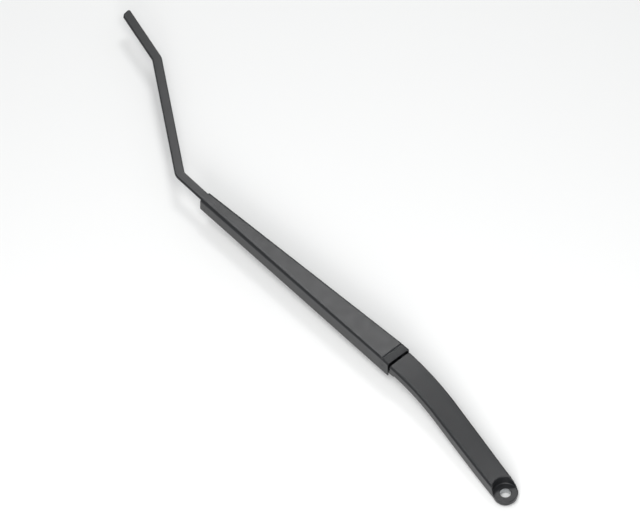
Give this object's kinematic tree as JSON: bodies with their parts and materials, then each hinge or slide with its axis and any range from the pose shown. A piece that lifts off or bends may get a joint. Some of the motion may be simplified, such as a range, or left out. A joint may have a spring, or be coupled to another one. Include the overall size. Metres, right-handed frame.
{
  "type": "windscreen wiper arm",
  "caption": "Windscreen wiper arm: cast head bolted to the spindle, hinged pressed channel with a tension spring inside, and a bent flat bar that carries the blade.",
  "frame": {"origin": "centre of the spindle bore, in the plane of the nut seat", "axes": "+Z along the spindle towards the nut, +X outwards along the channel, +Y to the side away from the bar's bend"},
  "size_m": [0.6342, 0.1366, 0.0268],
  "materials": {
    "head_coating": "satin black powder coat on die-cast aluminium",
    "arm_coating": "satin black powder coat on pressed steel",
    "bush_nylon": "natural moulded nylon",
    "zinc_steel": "zinc plated steel",
    "spring_steel": "oiled spring wire"
  },
  "bodies": {
    "head": {"arm_head": "head_coating", "hinge_bush_left": "bush_nylon", "hinge_bush_right": "bush_nylon", "anchor_pin": "zinc_steel"},
    "arm": {"channel": "arm_coating", "hinge_pin": "arm_coating", "arm_bar": "arm_coating", "bar_rivet_inner": "arm_coating", "bar_rivet_outer": "arm_coating", "tension_spring": "spring_steel"},
    "link": {"spring_link": "zinc_steel"}
  },
  "joints": [
    {"name": "arm_lift", "type": "hinge", "parent": "head", "child": "arm", "pos_m": [0.17644, -0.02727, 0.0134], "axis": [0, -1, 0], "range_deg": [0, 60], "stiffness_Nm_per_rad": 0.4, "springref_deg": -68.75},
    {"name": "link_slide", "type": "slide", "parent": "arm", "child": "link", "axis": [-1, 0, 0], "range_m": [0, 0.0076], "deforming": ["tension_spring"]}
  ],
  "couplings": [
    {"joint": "link_slide", "follows": "arm_lift", "m_per_rad": 0.007162}
  ]
}
